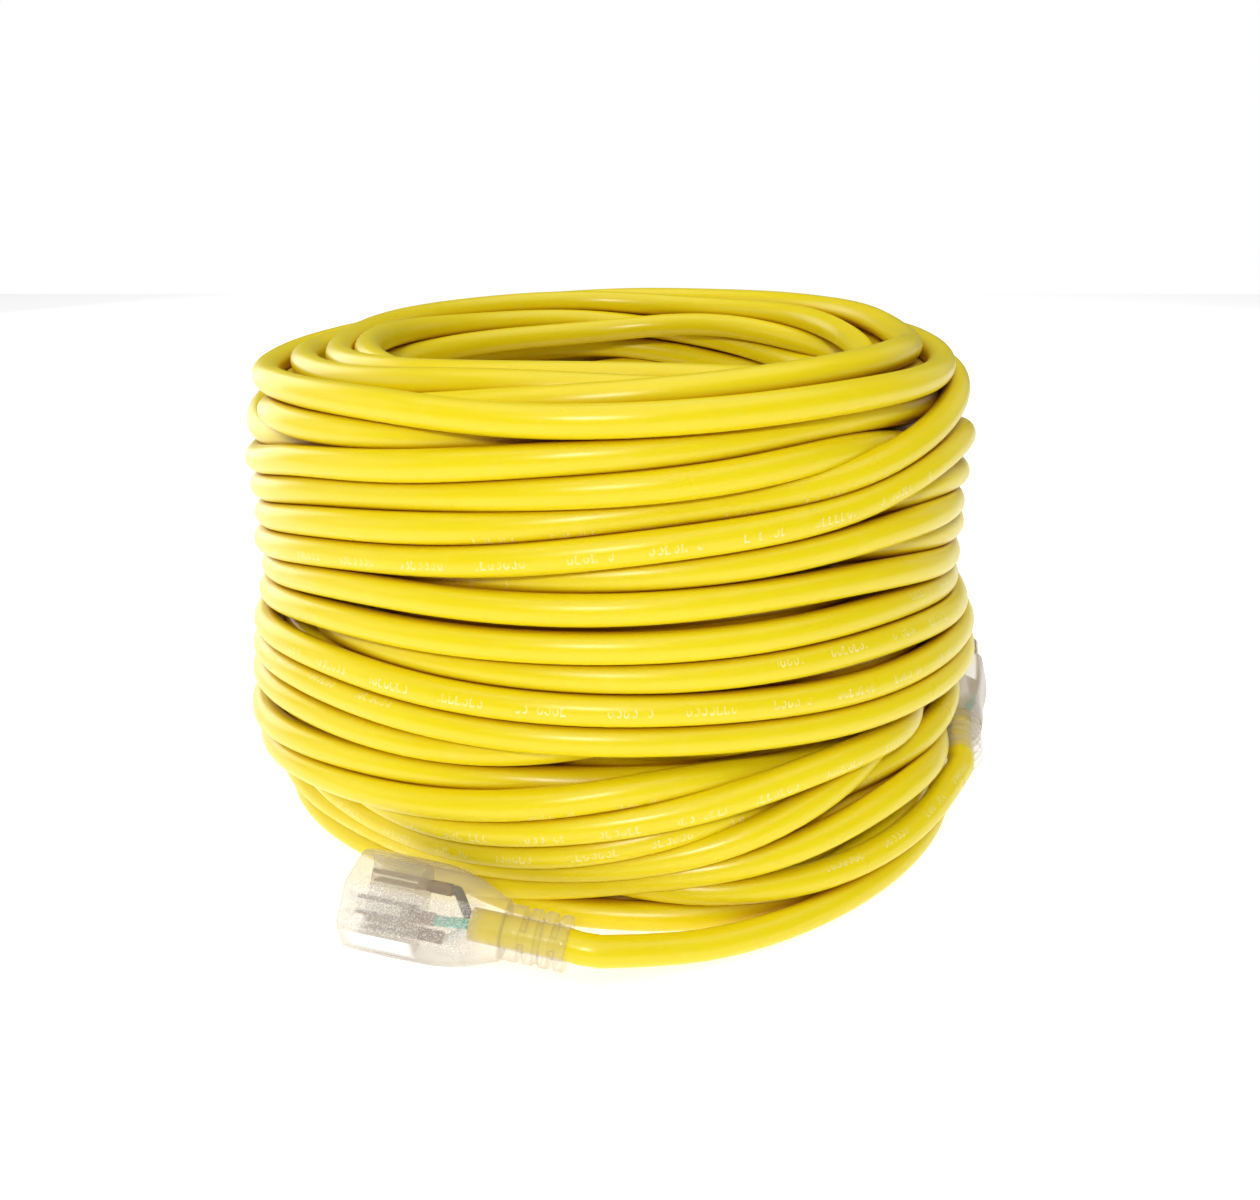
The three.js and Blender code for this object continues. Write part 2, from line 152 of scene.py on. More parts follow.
# Outside turns from the top down, as angle: height where the turn shows on the coil's outer surface.
# A turn sinks behind its neighbours past the ends of its own angles.
OUTER_TURNS = [
    {-58: 140, -30: 143, 30: 143.5, 45: 144.5, 58: 146.5},
    {-58: 136.5, -45: 139, -32: 140.5},
    {-58: 132.5, -45: 133.2, -30: 136.5, -15: 139},
    {-60: 126.5, -30: 130.8, 0: 135.2, 30: 137.8, 45: 139.7},
    {-50: 121, -30: 123.3, 0: 128, 30: 132.4, 50: 137.5},
    {-58: 112, -40: 114.5, -20: 117.8, 0: 121.2, 20: 124.5, 40: 127.6, 60: 133},
    {-60: 98.4, -50: 102.3, -40: 105.6, -20: 110.2, 0: 114.3, 20: 117.5, 40: 121.5, 60: 126.1},
    {33: 117, 45: 118.3, 60: 120.2},
    {-20: 105.9, 0: 108.4, 20: 110.1, 40: 111.3, 55: 113.5},
    {40: 105.8, 56: 108.5},
    {-50: 98.4, -30: 98.4, 0: 100.2, 30: 100, 60: 99.8},
    {-40: 95, 36: 95},
    {-60: 86.6, -40: 87.7, -20: 89.7, 0: 90.3, 20: 91, 55: 89.6},
    {-45: 81.5, -30: 80.5, 0: 81, 30: 80.3, 60: 81},
    {20: 75, 50: 75},
    {-50: 79, -40: 76.9, -30: 75.4, 0: 73.8, 20: 72, 40: 69.4, 60: 70.6},
    {-45: 73.5, -30: 71.8, -20: 71},
    {-60: 67, -50: 66.1, 0: 66.1, 20: 64.5, 40: 61.5, 60: 59.3, 70: 56},
    {-60: 57.7, -30: 57.7, -10: 60.5},
    {-50: 47.6, -30: 49.1, -20: 50.7, -10: 53.8, 5: 59.5},
    {-55: 38.4, -40: 39.8, -30: 41, -20: 43.5, 0: 50, 20: 57.5},
    {-30: 37, -20: 37.8, 0: 42.3, 20: 50.1, 38: 56.4},
    {-40: 36, -30: 33.3, -20: 32.4, -10: 33.3, 0: 35.7, 10: 39.3, 25: 46.5},
    {-54: 32.7, -40: 27.4, -30: 26.6, -10: 28.3, 0: 29.4, 10: 32.3, 20: 37.6, 30: 43.8, 45: 52.1},
    {20: 31.3, 30: 36, 40: 42.2},
    {-58: 15, -45: 13.5, -20: 15.2, 0: 19.9, 10: 21.9, 20: 25.1, 30: 29, 40: 34.4, 55: 44.8},
    {-45: 4.4, -30: 5, -20: 7, 0: 12.4, 20: 16.6, 40: 22.4, 60: 29},
]
# Where outside turns lie past the angles at which they show, as (turn, {angle: (radius, height)}). Turn 5
# climbs furthest to the right and goes over the edge behind.
OUTER_GUIDES = [
    (0, {-180: (106, 140), -150: (107, 139), -120: (109.5, 137.5), -90: (109, 136.2), -72: (108.5, 137)}),
    (0, {66: (103, 141.5), 80: (101.5, 139.5), 100: (98.5, 139), 130: (99, 138.5), 160: (103, 137)}),
    (1, {-175: (107, 133), -150: (110, 130.5), -120: (112.5, 128.5), -90: (113, 128), -72: (112.5, 129)}),
    (1, {-10: (101, 134), 45: (95, 126), 90: (93, 121.5), 135: (96, 121), 170: (103, 125)}),
    (2, {-5: (102, 137), 20: (98, 136.5), 45: (94, 134.5), 90: (91.5, 130), 135: (95, 129.5),
         175: (102, 129)}),
    (3, {60: (102, 133.5), 75: (100, 132.5), 100: (100, 130.5), 130: (101, 130)}),
    (5, {66: (109, 131), 80: (108, 133), 100: (106, 135), 125: (107, 137), 150: (109, 136)}),
]
# The outside radius at the coil's sides, as (height, radius). It is wider there than in front, where it
# shrinks evenly from the floor to the top.
SIDE_PROFILE = [
    (0, 118), (15, 122), (30, 124.5), (45, 124.5), (66, 121), (86, 116), (100, 115), (119, 116),
    (128, 115), (143, 109), (160, 106),
]
RIGHT_SIDE_LESS = 1.5
LEFT_SIDE_LESS = [(0, 6.5), (18, 4), (36, 0)]  # how much less the left side is, as (height, amount)
FRONT_RADIUS = 126
FRONT_TAPER = 16
TAPER_HEIGHT = 146
SUNK_DEPTH = 9  # how far inside the outermost a turn goes past its own angles
HIGH_INNER_DEPTH = 13  # the same for inner turns near the top
SIDE_ANGLE = 112  # turns that reach a side of the coil stay outermost out to here
LID_HEIGHT, LID_TILT, LID_HIGHEST = 147, 3.2, 50  # the top: its mean height, and how it tilts at an angle
BORE, HIGH_BORE, HIGH_BORE_FROM = 80, 76, 132  # least radius, and its value above a height
WIDEST = 124
# Behind the connector the low turns are tucked in, to leave it room.
TUCK_HEIGHT, TUCK_MOST = 34, 14
TUCK_SHARE = [(-54, 0), (-43, 1), (6, 1), (16, 0)]  # (angle, share)


def front_radius(height):
    return FRONT_RADIUS - FRONT_TAPER * height / TAPER_HEIGHT


def outermost(height, degrees):
    """The radius of an outermost turn's middle."""
    less = np.where(np.asarray(degrees) > 0, RIGHT_SIDE_LESS, np.interp(height, *zip(*LEFT_SIDE_LESS)))
    side = np.interp(height, *zip(*SIDE_PROFILE)) - less
    share = np.sin(np.radians(degrees)) ** 2
    return front_radius(height) * (1 - share) + side * share - RADIUS


def table(entries, degrees, column=None):
    angles = sorted(entries)
    values = [entries[a] if column is None else entries[a][column] for a in angles]
    return np.interp(degrees, angles, values)


def end_rooms(degrees):
    """The discs, as (radius, height, own radius), that the two moulded ends take up at an angle.

    Each end is taken as a straight line from its lead to near its face, along which its own radius grows.
    """
    rooms = []
    if -42 <= degrees <= -5:
        along = (degrees + 6) / (-29.8 + 6)
        own = RELIEF_RADIUS + 4.25 * min(1, max(0, along * 1.6))
        rooms.append((130.6 + along * 6.4, 11.2 + along * 5.7, own))
    if 64 <= degrees <= 108:
        along = (degrees - 70) / (86.4 - 70)
        own = RELIEF_RADIUS + 5.35 * min(1, max(0, (along - 0.25) * 1.8))
        radius, height = 122 + along * 4.5, 16.7 + along * 5.8
        rooms.append((radius + max(0, along - 1) * 3, height, own if along <= 1 else 8))
    return rooms


def start_at(goal, laid):
    """The goal with its blanks as zeros, and a first line that joins the known stations."""
    index, known = np.arange(goal.size), ~np.isnan(goal) & laid
    return np.nan_to_num(goal), np.interp(index, index[known], goal[known])


class Winding:
    """Every turn of the cord as a radius and a height at each station.

    Goals pull each turn to where it belongs. A fixed number of rounds bends the turns evenly and pushes them
    apart, which leaves little overlap.
    """

    def __init__(self):
        self.turns = 1 + INNER_TURNS + len(TOP_TURNS) + len(OUTER_TURNS) + 1
        self.angles = -180 + 360 / STATIONS * (np.arange(STATIONS) + 0.5)
        shape = (self.turns, STATIONS)
        self.height_goal, self.radius_goal = np.full(shape, np.nan), np.full(shape, np.nan)
        self.height_pull, self.radius_pull = np.zeros(shape), np.zeros(shape)
        self.on_show, self.fixed = np.zeros(shape, bool), np.zeros(shape, bool)
        self.laid = np.ones(shape, bool)
        self.plan_inner()
        self.plan_top()
        self.plan_outer()
        self.plan_leads()

    def plan_inner(self):
        for i in range(INNER_TURNS):
            turn, wound = 1 + i, i + (self.angles + 180) / 360
            heights = np.interp(wound, *zip(*INNER_CLIMB))
            depths = np.where(heights > 105, HIGH_INNER_DEPTH, INNER_DEPTHS[i % 2])
            self.height_goal[turn] = heights
            self.radius_goal[turn] = outermost(heights, self.angles) - depths
            self.height_pull[turn] = self.radius_pull[turn] = INNER_PULL

    def set_goals(self, turn, entries, where):
        self.radius_goal[turn, where] = table(entries, self.angles, 0)[where]
        self.height_goal[turn, where] = table(entries, self.angles, 1)[where]
        self.height_pull[turn, where] = self.radius_pull[turn, where] = GUIDE_PULL

    def plan_top(self):
        everywhere = np.ones(STATIONS, bool)
        for i, entries in enumerate(TOP_TURNS):
            self.set_goals(1 + INNER_TURNS + i, entries, everywhere)

    def plan_outer(self):
        angles = self.angles
        first = 1 + INNER_TURNS + len(TOP_TURNS)
        for i, entries in enumerate(OUTER_TURNS):
            turn, low, high = first + i, min(entries), max(entries)
            shows = (angles >= low - 2) & (angles <= high + 2)
            inside = np.clip(np.minimum(angles - low, high - angles) / 12, 0.12, 1)
            heights = table(entries, angles)
            self.height_goal[turn, shows] = heights[shows]
            self.radius_goal[turn, shows] = outermost(heights, angles)[shows]
            self.height_pull[turn, shows] = SHOWN_HEIGHT_PULL * inside[shows]
            self.radius_pull[turn, shows] = SHOWN_RADIUS_PULL * inside[shows]
            self.on_show[turn, shows] = True
            for past_end, is_wide in ((low - angles, low <= -50), (angles - high, high >= 55)):
                side = (past_end > 2) & (np.abs(angles) < SIDE_ANGLE) & is_wide
                self.radius_goal[turn, side] = outermost(heights, angles)[side]
                self.radius_pull[turn, side] = SIDE_PULL
            sunk = (np.abs(angles) <= IN_VIEW) & ~shows & (self.radius_pull[turn] == 0)
            past = np.clip(np.maximum(low - angles, angles - high) / 14, 0, 1)
            self.radius_goal[turn, sunk] = outermost(heights, angles)[sunk] - SUNK_DEPTH
            self.radius_pull[turn, sunk] = SUNK_PULL * past[sunk]
        for turn, entries in OUTER_GUIDES:
            self.set_goals(first + turn, entries, (angles > min(entries) - 1) & (angles < max(entries) + 1))

    def plan_leads(self):
        self.laid[0, self.angles < min(FIRST_LEAD)] = False
        self.laid[-1, self.angles > max(LAST_LEAD)] = False
        for turn, entries in ((0, FIRST_LEAD), (self.turns - 1, LAST_LEAD)):
            where = (self.angles >= min(entries)) & (self.angles <= max(entries))
            self.set_goals(turn, entries, where)
            self.fixed[turn, where] = True

    def view_lift(self, radius, height):
        """How much higher than it is a turn shows on the outer surface, from where the camera stands."""
        away = EYE[0] - radius * self.sin, EYE[1] + radius * self.cos
        far = np.hypot(*away)
        facing = (away[0] * self.sin - away[1] * self.cos) / far
        surface = front_radius(height)
        beyond = np.maximum((radius * facing) ** 2 + surface ** 2 - radius ** 2, 0)
        reach = np.sqrt(beyond) - radius * facing
        return reach * (EYE[2] - height) / far

    def bend(self, line, straighten):
        """Stiffness: evens out how sharply the line bends, and a little the line itself."""
        def unevenness(values):
            out = np.zeros_like(values)
            out[1:-1] = (values[2:] + values[:-2]) / 2 - values[1:-1]
            out[: self.start + 1] = 0
            out[self.stop:] = 0
            return out
        for _ in range(2):
            once = unevenness(line)
            line += np.where(self.held, 0, straighten * once - STIFFNESS * unevenness(once))

    def push_apart(self, radius, height, gain):
        """Moves turns apart that lie closer than the spacing, at every station."""
        heights, radii = (a.reshape(self.turns, STATIONS).T for a in (height, radius))
        up = heights[:, :, None] - heights[:, None, :]
        out = radii[:, :, None] - radii[:, None, :]
        apart = np.hypot(up, out)
        np.einsum("kii->ki", apart)[:] = np.inf
        overlap = np.where(self.pairs, np.maximum(0, SPACING - apart), 0)
        share = gain * overlap / np.maximum(apart, 0.3)
        count = np.sqrt(np.maximum((overlap > 0).sum(2), 1))
        apart_up = (np.where(overlap > 0, up, 0) * share).sum(2) / count
        apart_out = (np.where(overlap > 0, out, 0) * share).sum(2) / count
        height += np.where(self.held, 0, np.clip(apart_up.T.reshape(-1), -MOST_PUSH, MOST_PUSH))
        radius += np.where(self.held, 0, np.clip(apart_out.T.reshape(-1), -MOST_PUSH, MOST_PUSH))

    def clear_ends(self, radius, height):
        """Moves turns out of the room that the two moulded ends take up."""
        for station, rooms in enumerate(self.rooms):
            at = slice(station, None, STATIONS)
            for room_radius, room_height, own in rooms:
                out, up = radius[at] - room_radius, height[at] - room_height
                apart = np.hypot(out, up)
                hit = (apart < own + RADIUS) & ~self.held[at]
                move = np.where(hit, 0.6 * (own + RADIUS - apart) / np.maximum(apart, 0.5), 0)
                height[at] += up * move
                radius[at] += out * move - 0.3 * hit

    def stay_in(self, radius, height):
        """Keeps the turns off the floor, under the coil's top and between its bore and its outside."""
        lid = LID_HEIGHT + LID_TILT * np.cos(np.radians(self.around - LID_HIGHEST))
        height[:] = np.where(self.held, height, np.clip(height, RADIUS, lid))
        tucked = np.clip((TUCK_HEIGHT - height) * 0.75, 0, TUCK_MOST)
        tucked *= np.interp(self.around, *zip(*TUCK_SHARE))
        outside = np.minimum(outermost(height, self.around) + 1.2, WIDEST) - tucked
        bore = np.where(height > HIGH_BORE_FROM, HIGH_BORE, BORE)
        radius[:] = np.where(self.held, radius, np.maximum(np.minimum(radius, outside), bore))

    def relax(self):
        """The angles, radii and heights of the wound cord's middle, from station to station."""
        laid, self.held = self.laid.reshape(-1), self.fixed.reshape(-1)
        self.around = np.tile(self.angles, self.turns)
        self.sin, self.cos = np.sin(np.radians(self.around)), np.cos(np.radians(self.around))
        self.rooms = [end_rooms(a) for a in self.angles]
        self.pairs = self.laid.T[:, :, None] & self.laid.T[:, None, :]
        index = np.arange(laid.size)
        self.start, self.stop = index[laid][0], index[laid][-1]
        height_pull, radius_pull = self.height_pull.reshape(-1), self.radius_pull.reshape(-1)
        on_show = self.on_show.reshape(-1)
        height_goal, height = start_at(self.height_goal.reshape(-1), laid)
        radius_goal, radius = start_at(self.radius_goal.reshape(-1), laid)
        for i in range(ROUNDS):
            done = i / ROUNDS
            pull = 1 if done < 0.6 else max(0.15, 1 - (done - 0.6) * 2.6)
            for line in (radius, height):
                self.bend(line, 0.12 if done < 0.5 else 0.03)
            wanted = np.where(on_show, height_goal - self.view_lift(radius, height), height_goal)
            height += np.where(self.held, 0, pull * height_pull * (wanted - height))
            radius += np.where(self.held, 0, pull * radius_pull * (radius_goal - radius))
            height -= np.where(self.held, 0, FALL * pull)
            radius -= np.where(self.held | (radius_pull > 0), 0, CREEP * pull)
            self.push_apart(radius, height, 0.5 if done < 0.5 else 0.7)
            self.clear_ends(radius, height)
            self.stay_in(radius, height)
        for line in (radius, height):
            for _ in range(LAST_SMOOTHINGS):
                line[self.start + 1:self.stop] += (
                    line[self.start:self.stop - 1] + line[self.start + 2:self.stop + 1]
                    - 2 * line[self.start + 1:self.stop]) / 4
        return self.around[laid], radius[laid], height[laid]


def smooth_through(points, steps):
    """Catmull-Rom curve through points, with so many steps between each two."""
    padded = np.vstack([2 * points[0] - points[1], points, 2 * points[-1] - points[-2]])
    a, b, c, d = padded[:-3], padded[1:-2], padded[2:-1], padded[3:]
    lines = []
    for t in np.arange(steps) / steps:
        lines.append(0.5 * (2 * b + (c - a) * t + (2 * a - 5 * b + 4 * c - d) * t ** 2
                            + (3 * b - a - 3 * c + d) * t ** 3))
    return np.vstack([np.stack(lines, 1).reshape(-1, points.shape[1]), points[-1]])


def cord_route():
    """The middle of the whole cord in millimetres, from the connector's jacket end to the plug's."""
    angles, radii, heights = Winding().relax()
    turns = around(angles, radii, heights).T
    leaves = np.argmax(angles > 3)  # up to here the cord follows the connector's own axis
    arrives = len(angles) - np.argmax(angles[::-1] < IN_VIEW)  # and from here the plug's
    relief = relief_end(CONNECTOR)
    first = [on_axis(CONNECTOR, d) for d in (CONNECTOR["jacket_end"], 41, 50, relief, relief + 9)]
    relief = relief_end(PLUG)
    last = [on_axis(PLUG, d) for d in (relief + 6, relief, 46, 38, PLUG["jacket_end"])]
    points = np.vstack([first, turns[leaves:arrives], last])
    return smooth_through(points, 2) + COIL_AXIS


# ---- mesh helpers ----
def new_object(name, mesh):
    piece = bpy.data.objects.new(name, mesh)
    bpy.context.collection.objects.link(piece)
    return piece


def mesh_object(name, points, faces, matrix=None):
    """A mesh piece from points in millimetres, turned and placed by a matrix from an end's frame."""
    mesh = bpy.data.meshes.new(name)
    if matrix is not None:
        points = [matrix @ Vector(p) + Vector(COIL_AXIS) for p in points]
    mesh.from_pydata([tuple(c * MM for c in p) for p in points], [], faces)
    tidy = bmesh.new()
    tidy.from_mesh(mesh)
    bmesh.ops.recalc_face_normals(tidy, faces=tidy.faces)
    tidy.to_mesh(mesh)
    tidy.free()
    for face in mesh.polygons:
        face.use_smooth = True
    mesh.update()
    return new_object(name, mesh)


def tube(name, route, radius):
    """A round tube along a route in millimetres, closed at both ends, with its own surface coordinates."""
    sides, count = TUBE_SIDES, len(route)
    along = np.gradient(route, axis=0)
    along /= np.linalg.norm(along, axis=1)[:, None]
    out = route - COIL_AXIS
    out[:, 2] = 0
    out -= (out * along).sum(1)[:, None] * along
    out /= np.linalg.norm(out, axis=1)[:, None]
    up = np.cross(along, out)
    turn = 2 * np.pi * np.arange(sides) / sides
    ring = np.cos(turn)[None, :, None] * out[:, None, :] + np.sin(turn)[None, :, None] * up[:, None, :]
    points = (route[:, None, :] + radius * ring).reshape(-1, 3)
    first = np.arange(count - 1)[:, None] * sides + np.arange(sides)[None, :]
    beside = np.arange(count - 1)[:, None] * sides + (np.arange(sides)[None, :] + 1) % sides
    quads = np.stack([first, beside, beside + sides, first + sides], -1).reshape(-1, 4).tolist()
    quads.append(list(range(sides)))
    quads.append(list(range((count - 1) * sides, count * sides)))
    piece = mesh_object(name, points.tolist(), quads)
    length = np.concatenate([[0], np.cumsum(np.linalg.norm(np.diff(route, axis=0), axis=1))])
    return piece, length, turn


def add_attribute(piece, name, values):
    layer = piece.data.attributes.new(name, "FLOAT", "POINT")
    layer.data.foreach_set("value", np.asarray(values, np.float32))


# ---- materials ----
class Material:
    """A node material with short calls for the nodes that these surfaces need."""

    def __init__(self, name):
        self.material = bpy.data.materials.new(name)
        self.material.use_nodes = True
        self.tree = self.material.node_tree
        self.shader = self.tree.nodes["Principled BSDF"]

    def node(self, kind, **settings):
        node = self.tree.nodes.new(kind)
        for key, value in settings.items():
            setattr(node, key, value)
        return node

    def link(self, source, target):
        self.tree.links.new(source, target)

    def feed(self, socket, value):
        if isinstance(value, bpy.types.NodeSocket):
            self.link(value, socket)
        else:
            socket.default_value = value

    def math(self, operation, first, second=0.0, clamp=False):
        node = self.node("ShaderNodeMath", operation=operation, use_clamp=clamp)
        self.feed(node.inputs[0], first)
        self.feed(node.inputs[1], second)
        return node.outputs[0]

    def noise(self, scale, detail=2.0, roughness=0.5):
        node = self.node("ShaderNodeTexNoise")
        self.link(self.node("ShaderNodeTexCoord").outputs["Object"], node.inputs["Vector"])
        node.inputs["Scale"].default_value = scale
        node.inputs["Detail"].default_value = detail
        node.inputs["Roughness"].default_value = roughness
        return node.outputs["Fac"]

    def spread(self, value, low, high, from_low=0.3, from_high=0.7):
        node = self.node("ShaderNodeMapRange")
        self.feed(node.inputs["Value"], value)
        limits = {"From Min": from_low, "From Max": from_high, "To Min": low, "To Max": high}
        for key, number in limits.items():
            node.inputs[key].default_value = number
        return node.outputs["Result"]

    def mix(self, factor, first, second):
        node = self.node("ShaderNodeMix", data_type="RGBA")
        self.feed(node.inputs["Factor"], factor)
        self.feed(node.inputs[6], first)
        self.feed(node.inputs[7], second)
        return node.outputs[2]

    def bump(self, height, distance, strength):
        node = self.node("ShaderNodeBump")
        node.inputs["Strength"].default_value = strength
        node.inputs["Distance"].default_value = distance
        self.link(height, node.inputs["Height"])
        self.link(node.outputs["Normal"], self.shader.inputs["Normal"])

    def attribute(self, name):
        return self.node("ShaderNodeAttribute", attribute_name=name).outputs["Fac"]

    def set(self, **sockets):
        for key, value in sockets.items():
            self.feed(self.shader.inputs[key.replace("_", " ")], value)


YELLOW = (0.80, 0.635, 0.003, 1)
LIGHT_YELLOW = (0.84, 0.685, 0.005, 1)
SCUFFED_YELLOW = (0.86, 0.74, 0.16, 1)
LEGEND_WHITE = (0.93, 0.91, 0.74, 1)
PAINTED_SHADE_BROWN = (0.52, 0.22, 0.001, 1)  # painted shade: the brown put into the creases where turns meet


def jacket_material():
    made = Material("cord_jacket")
    drift = made.spread(made.noise(9, 3), 0, 1)
    yellow = made.mix(drift, YELLOW, LIGHT_YELLOW)
    scuff = made.spread(made.noise(140, 5, roughness=0.65), 0, 0.16, 0.55, 0.8)
    scuffed = made.mix(scuff, yellow, SCUFFED_YELLOW)
    marked = made.mix(legend_marks(made), scuffed, LEGEND_WHITE)
    # Painted shade: where ambient occlusion finds turns close together, the yellow is mixed towards brown,
    # which darkens the creases between them.
    open_air = made.node("ShaderNodeAmbientOcclusion", samples=6, only_local=True)
    open_air.inputs["Distance"].default_value = 0.006
    painted_crease_shade = made.spread(open_air.outputs["AO"], 1, 0, 0.08, 0.58)
    made.set(Base_Color=made.mix(painted_crease_shade, marked, PAINTED_SHADE_BROWN))
    made.set(Roughness=made.spread(made.noise(60, 3), 0.27, 0.36), IOR=1.5, Specular_IOR_Level=0.46)
    made.bump(made.noise(420, 4), 0.00004, 0.3)
    return made.material


# Along the cord, in metres: one mark, one group of marks, and one row of groups with the blank after it.
MARK_PITCH, GROUP_PITCH, ROW_PITCH = 0.0019, 0.0207, 0.61
GROUP_SHARE, ROW_SHARE = 0.6, 0.36  # how much of each is marked
ROW_PHASE = 0.58


def legend_marks(made):
    """Faint rows of small open marks in place of the printed legend: 0 on the jacket, 1 on a mark."""
    along, across = made.attribute("along"), made.attribute("across")
    step = made.math("MULTIPLY", along, 1 / MARK_PITCH)
    chance = made.node("ShaderNodeTexWhiteNoise", noise_dimensions="1D")
    made.link(made.math("FLOOR", step), chance.inputs["W"])
    chance = chance.outputs["Value"]
    beside = made.math("MULTIPLY", made.math("SUBTRACT", made.math("FRACT", step), 0.5), 2.8)
    across = made.math("MULTIPLY", across, 0.92)
    square = made.math("MAXIMUM", made.math("ABSOLUTE", beside), made.math("ABSOLUTE", across))
    circle = made.math("ADD", made.math("POWER", beside, 2), made.math("POWER", across, 2))
    circle = made.math("SQRT", circle)
    lean = made.math("FRACT", made.math("MULTIPLY", chance, 7))
    lean = made.math("SUBTRACT", made.math("MULTIPLY", lean, 4), 2)
    is_round = made.math("GREATER_THAN", lean, -0.6)
    far = made.math("ADD", square, made.math("MULTIPLY", is_round, made.math("SUBTRACT", circle, square)))
    outline = made.math("COMPARE", far, 0.82)
    outline.node.inputs[2].default_value = 0.2
    kept = made.math("GREATER_THAN", made.math("ADD", made.math("MULTIPLY", beside, lean), across), -0.45)
    drawn = made.math("GREATER_THAN", chance, 0.12)
    group = made.math("FRACT", made.math("MULTIPLY", along, 1 / GROUP_PITCH))
    group = made.math("LESS_THAN", group, GROUP_SHARE)
    row = made.math("FRACT", made.math("ADD", made.math("MULTIPLY", along, 1 / ROW_PITCH), ROW_PHASE))
    row = made.math("LESS_THAN", row, ROW_SHARE)
    marks = outline
    for part in (kept, drawn, group, row, made.math("GREATER_THAN", made.attribute("facing"), 0)):
        marks = made.math("MULTIPLY", marks, part)
    return made.math("MULTIPLY", marks, made.spread(made.noise(500, 2), 0.15, 0.55))


# ---- the cord ----
def make_cord():
    route = cord_route()
    piece, length, turn = tube("cord", route, RADIUS)
    # The cord twists as it is wound, so the legend wanders round it, with one stronger roll midway.
    legend_side = 0.55 * np.sin(length / 1370) + 0.5 * np.sin(length / 530 + 1.7) - 0.15
    legend_side += 2.7 * np.exp(-((length * MM - 15.2) / 1.2) ** 2)
    from_legend = turn[None, :] - legend_side[:, None]
    add_attribute(piece, "along", np.repeat(length * MM, len(turn)))
    add_attribute(piece, "across", (RADIUS * np.sin(from_legend)).reshape(-1))
    add_attribute(piece, "facing", np.cos(from_legend).reshape(-1))
    piece.data.materials.append(jacket_material())
    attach(piece, "root")
    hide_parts("cord_coil", "connector_lead", "plug_lead")
    return piece, route


cord, cord_middle = make_cord()


# ---- the moulded ends ----
# The ends' outline as flat sides: (up, across) of each side's normal, and its distance from the axis.
END_SIDES = [
    ((1, 0), 9.8), ((-1, 0), 11.5), ((0, 1), 13.1), ((0, -1), 13.1),
    ((0.608, 0.794), 10.4), ((0.608, -0.794), 10.4), ((-0.673, 0.739), 14.39), ((-0.673, -0.739), 14.39),
]
RING = 144
RING_ANGLES = 2 * np.pi * np.arange(RING) / RING
RING_UP, RING_ACROSS = np.cos(RING_ANGLES), np.sin(RING_ANGLES)


def end_radius(margin=0.0, power=30):
    """The outline's radius round the axis, its corners a little rounded."""
    total = np.zeros(RING)
    for (up, across), distance in END_SIDES:
        total += np.maximum(0, (up * RING_UP + across * RING_ACROSS) / (distance + margin)) ** power
    return total ** (-1 / power)


def ring_at(depth, radius):
    """One ring of points so far behind an end's face."""
    radius = np.broadcast_to(radius, RING)
    return np.stack([np.full(RING, -float(depth)), radius * RING_UP, radius * RING_ACROSS], 1)


def loft(name, rings, matrix, round_again=False):
    """A closed skin over rings: capped at both ends, or joined back to its first ring."""
    count = len(rings)
    pairs = [(k, (k + 1) % count) for k in range(count if round_again else count - 1)]
    faces = [(a * RING + i, a * RING + (i + 1) % RING, b * RING + (i + 1) % RING, b * RING + i)
             for a, b in pairs for i in range(RING)]
    if not round_again:
        faces += [tuple(range(RING)), tuple(range((count - 1) * RING, count * RING))]
    piece = mesh_object(name, np.vstack(rings).tolist(), faces, matrix)
    piece.data.set_sharp_from_angle(angle=SHARP_ANGLE)
    return piece


def ease(value, low, high):
    t = np.clip((value - low) / (high - low), 0, 1)
    return t * t * (3 - 2 * t)


WINDOW_DEPTH = 0.7
WINDOW_FROM, WINDOW_TO = 1.8, 19.0
WINDOW_HALF_WIDTH = 4.3
WINDOW_MIDDLE = 4.9, -9.35  # up, across
FLANK_UP, FLANK_ACROSS = 0.608, 0.794  # the flank's normal
NECK_RADIUS = 13.1  # the round outline that each body ends in, before its taper
CLEARER = 0.16  # how much less milky the moulding is round the jacket


def window_share(depth, radius):
    """How far each point lies inside the long shallow recess on the flank: 0 outside, 1 well inside."""
    up, across = radius * RING_UP, radius * RING_ACROSS
    beside = np.abs((up - WINDOW_MIDDLE[0]) * FLANK_ACROSS + (across - WINDOW_MIDDLE[1]) * FLANK_UP)
    on_flank = up * FLANK_UP - across * FLANK_ACROSS > 9.4
    length = ease(depth, WINDOW_FROM - 0.5, WINDOW_FROM + 0.5)
    length *= ease(-depth, -WINDOW_TO - 0.6, -WINDOW_TO + 0.4)
    return length * on_flank * ease(-beside, -WINDOW_HALF_WIDTH, -WINDOW_HALF_WIDTH + 0.9)


